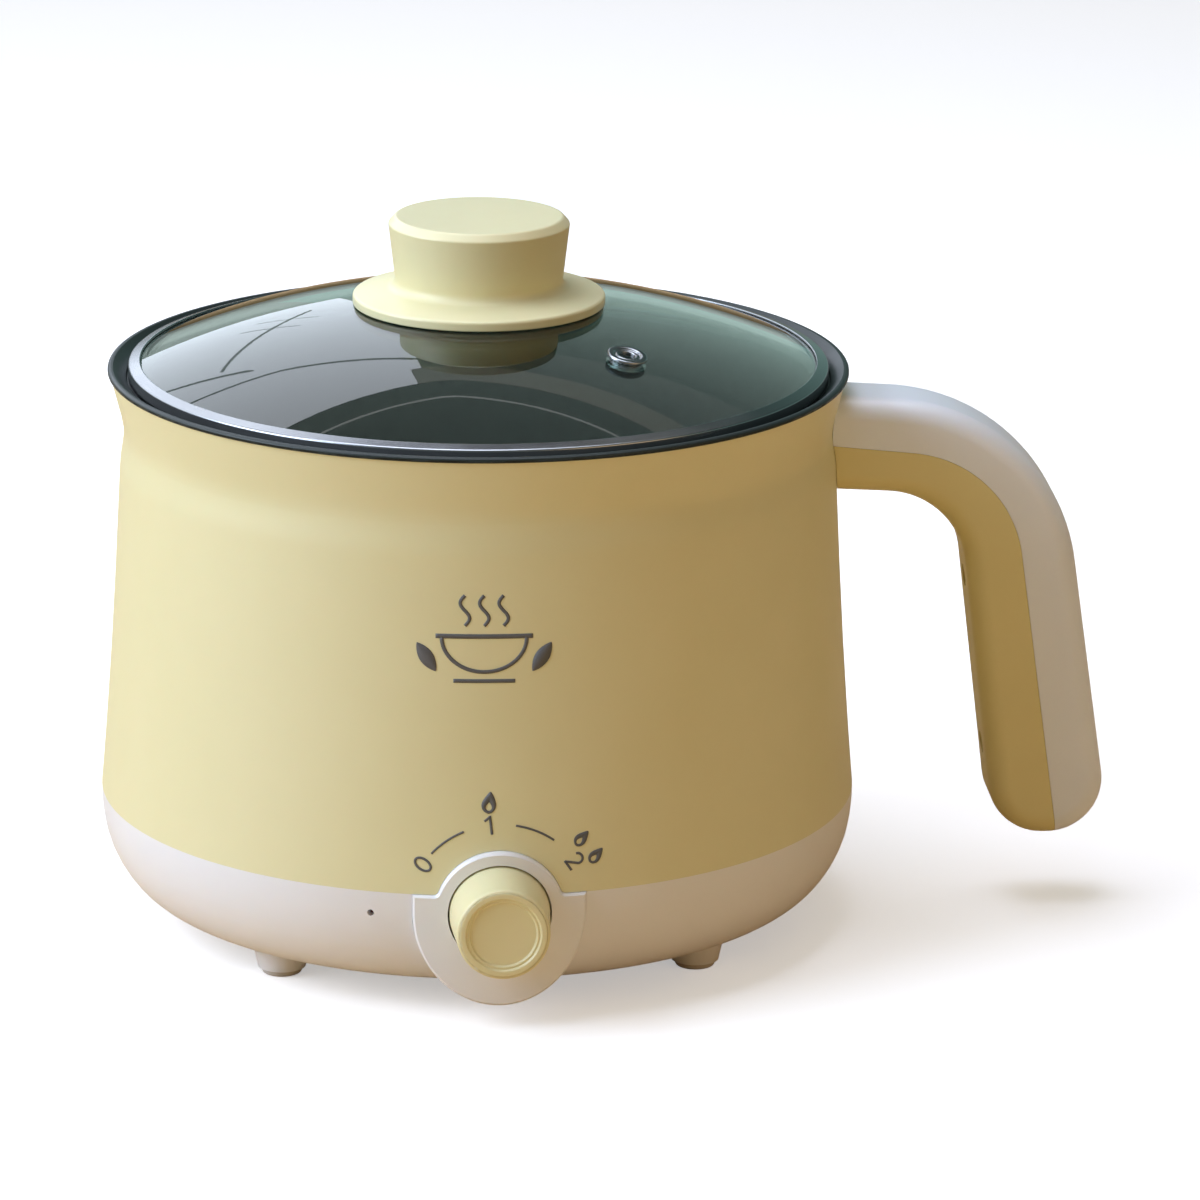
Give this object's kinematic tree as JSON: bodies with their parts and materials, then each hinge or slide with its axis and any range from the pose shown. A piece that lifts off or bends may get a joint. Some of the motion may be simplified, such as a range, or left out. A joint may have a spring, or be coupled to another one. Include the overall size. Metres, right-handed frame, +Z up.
{
  "type": "electric hot pot with lid",
  "caption": "Electric hot pot: round body on a wide base, hook-shaped side handle, rotary heat dial at the front and a lift-off domed glass lid with a knob.",
  "frame": {"origin": "at table level, under the middle of the whole outline (the pot's vertical axis is at x = -34.5 mm, y = +7.3 mm)", "axes": "+Z up, +X towards the handle, -Y towards the control dial"},
  "size_m": [0.275, 0.2254, 0.1942],
  "materials": {
    "yellow_plastic": "satin moulded polypropylene",
    "white_plastic": "satin moulded polypropylene",
    "nonstick_aluminium": "dark non-stick coating",
    "cast_aluminium": "as cast",
    "shield_steel": "plain sheet",
    "zinc_steel": "zinc plated",
    "stainless_steel": "polished",
    "element_steel": "heat-tinted tube",
    "lid_glass": "clear tempered glass",
    "clear_silicone": "translucent silicone",
    "foot_rubber": "matte rubber",
    "black_plastic": "moulded phenolic",
    "ceramic": "glazed ceramic",
    "terminal_brass": "stamped brass",
    "lens_plastic": "clear red plastic",
    "wire_brown": "silicone insulation",
    "wire_blue": "silicone insulation",
    "wire_green": "silicone insulation"
  },
  "bodies": {
    "root": {"base_screws": "zinc_steel", "base_shell": "white_plastic", "control_plate": "white_plastic", "foot_pads": "foot_rubber", "grip_screws": "zinc_steel", "handle_core": "shield_steel", "handle_inner_shell": "yellow_plastic", "handle_outer_shell": "white_plastic", "handle_screws": "zinc_steel", "heat_shield": "shield_steel", "heating_element": "element_steel", "heating_plate": "cast_aluminium", "indicator_lamp": "lens_plastic", "indicator_lens": "lens_plastic", "inner_pot": "nonstick_aluminium", "outer_shell": "yellow_plastic", "power_inlet_housing": "black_plastic", "power_inlet_pins": "terminal_brass", "rectifier_diode": "black_plastic", "rotary_switch_body": "black_plastic", "strap_screws": "zinc_steel", "switch_screws": "zinc_steel", "switch_terminals": "terminal_brass", "terminal_block": "ceramic", "thermal_fuse": "ceramic", "thermal_fuse_clip": "shield_steel", "thermostat": "ceramic", "thermostat_strap": "shield_steel", "wire_earth": "wire_green", "wire_heater_live": "wire_brown", "wire_heater_neutral": "wire_blue", "wire_lamp": "wire_blue", "wire_live": "wire_brown", "wire_neutral": "wire_blue", "wire_switch_feed": "wire_brown", "wire_thermostat_feed": "wire_brown"},
    "lid": {"lid_glass": "lid_glass", "lid_knob": "yellow_plastic", "lid_knob_gasket": "clear_silicone", "lid_knob_screw": "stainless_steel", "lid_rim_band": "stainless_steel", "lid_screw_seal": "clear_silicone", "lid_screw_washer": "stainless_steel", "steam_vent_eyelet": "stainless_steel"},
    "dial": {"control_dial": "yellow_plastic", "switch_shaft": "zinc_steel"}
  },
  "joints": [
    {"name": "lid_lift", "type": "slide", "parent": "root", "child": "lid", "axis": [0, 0, 1], "range_m": [0, 0.12]},
    {"name": "dial_turn", "type": "hinge", "parent": "root", "child": "dial", "pos_m": [-0.03454, -0.1027, 0.0314], "axis": [0, 1, 0], "range_deg": [0, 110]}
  ]
}
